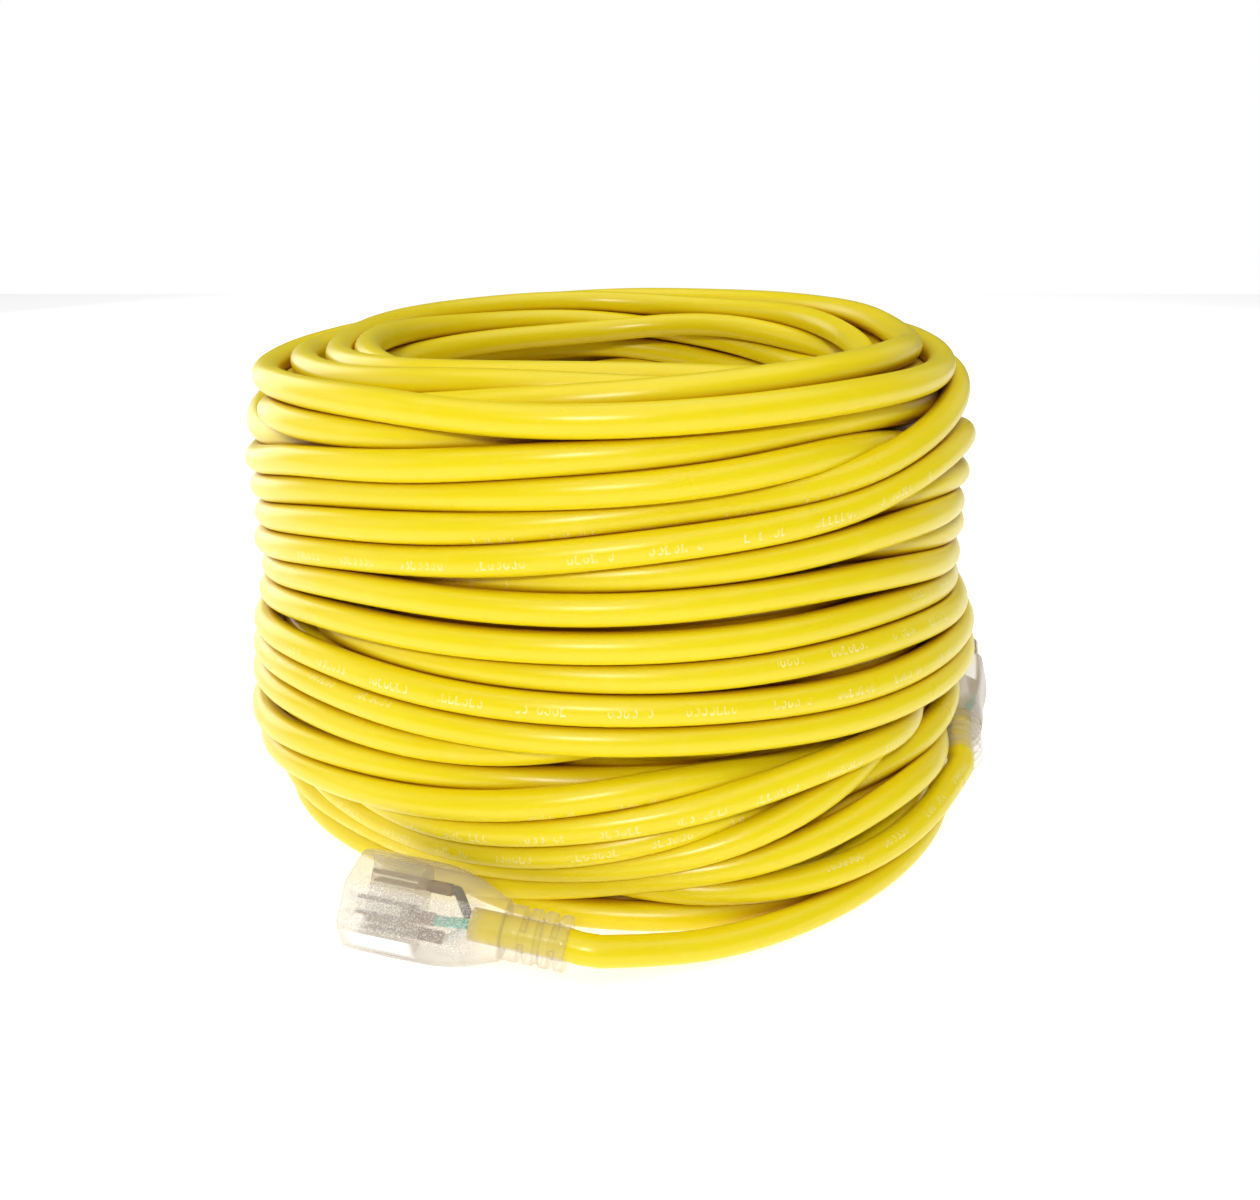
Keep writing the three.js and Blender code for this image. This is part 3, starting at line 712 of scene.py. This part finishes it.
def make_body(end, material):
    """The clear moulding, with the recess for its insert and the bore for the cord."""
    taper = smooth_through(np.array(end["taper"], float), 6)
    cavity = end_radius(INSERT_MARGIN + GAP)
    rings = [ring_at(end["insert"] + GAP, cavity), ring_at(0.3, cavity), ring_at(0, cavity + 0.25)]
    frost, window = [np.zeros(RING)] * 3, [np.zeros(RING)] * 3
    milk = [np.full(RING, end["milk"])] * 3
    for depth, share in taper:
        rounded = ease(depth, 0.55 * end["body"], end["body"])
        radius = end_radius() * share * (1 - rounded) + NECK_RADIUS * share * rounded
        inside = window_share(depth, radius)
        rings.append(ring_at(depth, radius - WINDOW_DEPTH * inside))
        flat = ease(radius * RING_UP, 8.9 * share, 9.5 * share) * ease(depth, 1.5, 2.5)
        frost.append(flat * (1 - ease(depth, end["body"] - 8, end["body"] - 3)))
        window.append(inside)
        on_jacket = ease(depth, end["jacket_end"] - 3, end["jacket_end"] + 3)
        milk.append(np.full(RING, end["milk"] - CLEARER * on_jacket))
    bore = RADIUS + GAP / 2
    rings += [ring_at(end["body"], bore + 0.2), ring_at(end["body"] - 0.3, bore),
              ring_at(end["jacket_end"], bore)]
    frost += [np.zeros(RING)] * 3
    window += [np.zeros(RING)] * 3
    milk += [np.full(RING, -CLEARER)] * 3
    piece = loft(end["name"] + "_moulding", rings, attitude(end))
    add_attribute(piece, "frost", np.concatenate(frost))
    add_attribute(piece, "window", np.concatenate(window))
    add_attribute(piece, "milk", np.concatenate(milk))
    finish_piece(piece, material, "clear_pvc", end["name"] + "_body")


def make_relief(end, material):
    """The bend relief: a collar and three ribs, joined by webs that turn a quarter from slot to slot."""
    edge = 0.35
    start = end["body"] + GAP
    rings = [ring_at(start, RADIUS + GAP)]

    def land(near, far):
        rings.extend([ring_at(near, RELIEF_RADIUS - edge), ring_at(near + 0.1, RELIEF_RADIUS - 0.1),
                      ring_at(near + edge, RELIEF_RADIUS), ring_at(far - edge, RELIEF_RADIUS),
                      ring_at(far - 0.1, RELIEF_RADIUS - 0.1), ring_at(far, RELIEF_RADIUS - edge)])

    land(start, start + RELIEF_COLLAR)
    depth = start + RELIEF_COLLAR
    for i in range(RELIEF_RIBS):
        beside = np.abs(RING_UP if i % 2 else RING_ACROSS) * RELIEF_RADIUS
        slot = RADIUS + 0.5 + (RELIEF_RADIUS - RADIUS - 1.3) * ease(-beside, -2.7, -1.7)
        rings.extend([ring_at(depth + 0.02, slot), ring_at(depth + RELIEF_SLOT - 0.02, slot)])
        land(depth + RELIEF_SLOT, depth + RELIEF_SLOT + RELIEF_RIB)
        depth += RELIEF_SLOT + RELIEF_RIB
    rings.append(ring_at(depth, RADIUS + GAP))
    piece = loft(end["name"] + "_relief", rings, attitude(end), round_again=True)
    for name, value in (("frost", 0), ("window", 0), ("milk", -0.14)):
        add_attribute(piece, name, np.full(len(piece.data.vertices), value))
    finish_piece(piece, material, "clear_pvc", end["name"] + "_strain_relief")


def finish_piece(piece, material, slot, *nodes):
    piece.data.materials.clear()
    piece.data.materials.append(material)
    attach(piece, "root")
    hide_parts(*nodes)


def softened(node, material, slot, edge):
    """The CAD node's own shape with its edges broken, as moulding and stamping leave them."""
    piece = new_object(node + "_finished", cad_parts[node].data.copy())
    tidy = bmesh.new()
    tidy.from_mesh(piece.data)
    bmesh.ops.remove_doubles(tidy, verts=tidy.verts, dist=1e-6)
    bmesh.ops.dissolve_limit(tidy, angle_limit=math.radians(1), verts=tidy.verts, edges=tidy.edges)
    tidy.to_mesh(piece.data)
    tidy.free()
    for face in piece.data.polygons:
        face.use_smooth = True
    piece.data.set_sharp_from_angle(angle=SHARP_ANGLE)
    bevel = piece.modifiers.new("edges", "BEVEL")
    bevel.width = edge * MM
    bevel.segments = 2
    bevel.limit_method = "ANGLE"
    bevel.angle_limit = SHARP_ANGLE
    finish_piece(piece, material, slot, node)


def make_wires(end, colours):
    """The three insulated wires, from the crimps to where they leave the jacket."""
    side = end["line_side"]
    start, stop = end["crimp"] + CRIMP_LENGTH + GAP, end["jacket_end"] - GAP
    places = {
        "line": ((side * BLADE_PITCH / 2, BLADE_LINE), (side * WIRE_SPREAD * 0.87, -WIRE_SPREAD / 2)),
        "neutral": ((-side * BLADE_PITCH / 2, BLADE_LINE), (-side * WIRE_SPREAD * 0.87, -WIRE_SPREAD / 2)),
        "ground": ((0, EARTH_LINE), (0, WIRE_SPREAD)),
    }
    for role, ((across, up), (jacket_across, jacket_up)) in places.items():
        bends = [
            (-start, up, across), (-start - 1.4, up, across),
            (-(start + stop) / 2, (up + jacket_up) / 2, (across + jacket_across) / 2),
            (-stop + 1.4, jacket_up, jacket_across), (-stop, jacket_up, jacket_across),
        ]
        smooth = smooth_through(np.array(bends), 8)
        route = np.array([attitude(end) @ Vector(p) for p in smooth]) + COIL_AXIS
        piece, _, _ = tube(f"{end['name']}_{role}_insulation", route, WIRE_RADIUS)
        material, slot = colours[role]
        finish_piece(piece, material, slot, f"{end['name']}_{role}_wire")


def clear_material():
    made = Material("clear_pvc")
    frost, window = made.attribute("frost"), made.attribute("window")
    edge = made.node("ShaderNodeLayerWeight").outputs["Facing"]
    sparkle = made.math("MULTIPLY", made.spread(made.noise(2400, 2, roughness=0.8), 0, 1, 0.5, 0.62), frost)
    tint = made.mix(made.spread(made.noise(60, 2), 0, 1), (0.61, 0.53, 0.45, 1), (0.72, 0.65, 0.56, 1))
    tint = made.mix(made.math("MULTIPLY", sparkle, 0.9), tint, (1, 0.96, 0.91, 1))
    made.set(Base_Color=made.mix(window, tint, (1, 0.98, 0.97, 1)))
    body = made.spread(made.math("POWER", edge, 2.4), 0.25, 0.8, 0, 1)
    body = made.math("ADD", body, made.math("MULTIPLY", frost, 0.15))
    body = made.math("ADD", body, made.attribute("milk"))
    body = made.math("ADD", body, made.math("MULTIPLY", sparkle, 0.2))
    made.set(Alpha=made.math("ADD", body, made.math("MULTIPLY", window, 0.55), clamp=True))
    made.set(Roughness=made.math("ADD", 0.12, made.math("MULTIPLY", frost, 0.25)), IOR=1.5)
    rough = made.math("MULTIPLY", made.noise(2600, 2, roughness=0.7), made.math("ADD", frost, 0.06))
    made.bump(rough, 0.00022, 0.7)
    return made.material


def insert_material():
    made = Material("inner_insert")
    cloud = made.spread(made.noise(300, 3), 0, 1)
    made.set(Base_Color=made.mix(cloud, (0.66, 0.60, 0.52, 1), (0.78, 0.72, 0.64, 1)))
    made.set(Alpha=made.spread(made.noise(90, 2), 0.04, 0.08))
    made.set(Roughness=made.spread(cloud, 0.4, 0.55, 0, 1))
    made.bump(made.noise(900, 3), 0.0001, 0.3)
    return made.material


def metal_material(name, dark, light, rough_low, rough_high, metallic=1.0):
    made = Material(name)
    stain = made.spread(made.noise(260, 4, roughness=0.6), 0, 1)
    made.set(Base_Color=made.mix(stain, (*dark, 1), (*light, 1)), Metallic=metallic)
    made.set(Roughness=made.spread(made.noise(700, 3), rough_low, rough_high))
    made.bump(made.noise(2200, 2), 0.00004, 0.5)
    return made.material


def insulation_material(name, dark, light):
    made = Material(name)
    made.set(Base_Color=made.mix(made.spread(made.noise(350, 3), 0, 1), (*dark, 1), (*light, 1)))
    made.set(Roughness=made.spread(made.noise(500, 2), 0.32, 0.48), IOR=1.5)
    made.bump(made.noise(1800, 2), 0.00005, 0.4)
    return made.material


def make_ends():
    clear, insert = clear_material(), insert_material()
    contacts = metal_material("brass_contacts", (0.085, 0.032, 0.006), (0.22, 0.10, 0.02), 0.45, 0.6, 0.35)
    blades = metal_material("brass_blades", (0.60, 0.50, 0.33), (0.75, 0.66, 0.46), 0.2, 0.34)
    copper = metal_material("copper_strand", (0.55, 0.22, 0.10), (0.80, 0.38, 0.20), 0.3, 0.5)
    colours = {
        "line": (insulation_material("black_insulation", (0.010, 0.011, 0.012), (0.022, 0.023, 0.026)),
                 "black_insulation"),
        "neutral": (insulation_material("white_insulation", (0.78, 0.77, 0.73), (0.86, 0.85, 0.82)),
                    "white_insulation"),
        "ground": (insulation_material("green_insulation", (0.0, 0.40, 0.31), (0.01, 0.52, 0.41)),
                   "green_insulation"),
    }
    for end in (CONNECTOR, PLUG):
        make_body(end, clear)
        make_relief(end, clear)
        make_wires(end, colours)
        for role in colours:
            softened(f"{end['name']}_{role}_core", copper, "copper_strand", 0.1)
    softened("connector_socket_block", insert, "inner_insert", 0.35)
    softened("plug_blade_carrier", insert, "inner_insert", 0.35)
    for role in colours:
        softened(f"connector_{role}_contact", contacts, "brass_contacts", 0.08)
    for node in ("plug_line_blade", "plug_neutral_blade", "plug_ground_pin"):
        softened(node, blades, "brass_blades", 0.12)


make_ends()


# ---- floor, world and lights ----
FLOOR_REACH = 1300  # millimetres from the object's origin to each side
# name, place and size in metres, power in watts
LIGHTS = [
    ("key", (-0.13, -1.05, 0.80), (0.18, 0.18), 6.3),
    ("left", (-1.0, -0.15, 0.45), (0.7, 0.7), 1.6),
    ("left_rim", (-0.95, 0.75, 0.4), (0.7, 0.9), 5),
    ("right_rim", (1.0, 0.8, 0.4), (0.6, 0.8), 0.7),
    ("overhead", (0.1, -0.1, 1.8), (2.5, 2.5), 27),
]
LIGHTS_AIM = Vector((0, 0, 0.07))
WORLD_LIGHT = 0.13


def make_floor():
    corners = [(x * FLOOR_REACH, y * FLOOR_REACH, 0) for x, y in ((-1, -1), (1, -1), (1, 1), (-1, 1))]
    floor = mesh_object("floor", corners, [(0, 1, 2, 3)])
    made = Material("floor")
    made.set(Base_Color=made.mix(made.noise(3), (0.93, 0.93, 0.93, 1), (0.96, 0.96, 0.96, 1)))
    made.set(Roughness=0.9, Emission_Color=(1, 1, 1, 1), Emission_Strength=0.52)
    floor.data.materials.append(made.material)


def make_light(name, place, size, power):
    light = bpy.data.objects.new(name, bpy.data.lights.new(name, "AREA"))
    light.data.shape = "RECTANGLE"
    light.data.size, light.data.size_y = size
    light.data.energy = power
    light.location = place
    light.rotation_euler = (LIGHTS_AIM - Vector(place)).to_track_quat("-Z", "Y").to_euler()
    bpy.context.collection.objects.link(light)


def make_world():
    """A dim even light on everything, with plain white behind the object."""
    world = bpy.data.worlds.new("studio")
    world.use_nodes = True
    nodes, links = world.node_tree.nodes, world.node_tree.links
    lighting = nodes["Background"]
    lighting.inputs["Strength"].default_value = WORLD_LIGHT
    seen = nodes.new("ShaderNodeBackground")
    for background in (lighting, seen):
        background.inputs["Color"].default_value = (1, 1, 1, 1)
    path, both = nodes.new("ShaderNodeLightPath"), nodes.new("ShaderNodeMixShader")
    links.new(path.outputs["Is Camera Ray"], both.inputs[0])
    links.new(lighting.outputs[0], both.inputs[1])
    links.new(seen.outputs[0], both.inputs[2])
    links.new(both.outputs[0], nodes["World Output"].inputs["Surface"])
    bpy.context.scene.world = world


make_floor()
make_world()
for light in LIGHTS:
    make_light(*light)
bpy.context.scene.view_settings.view_transform = "Standard"
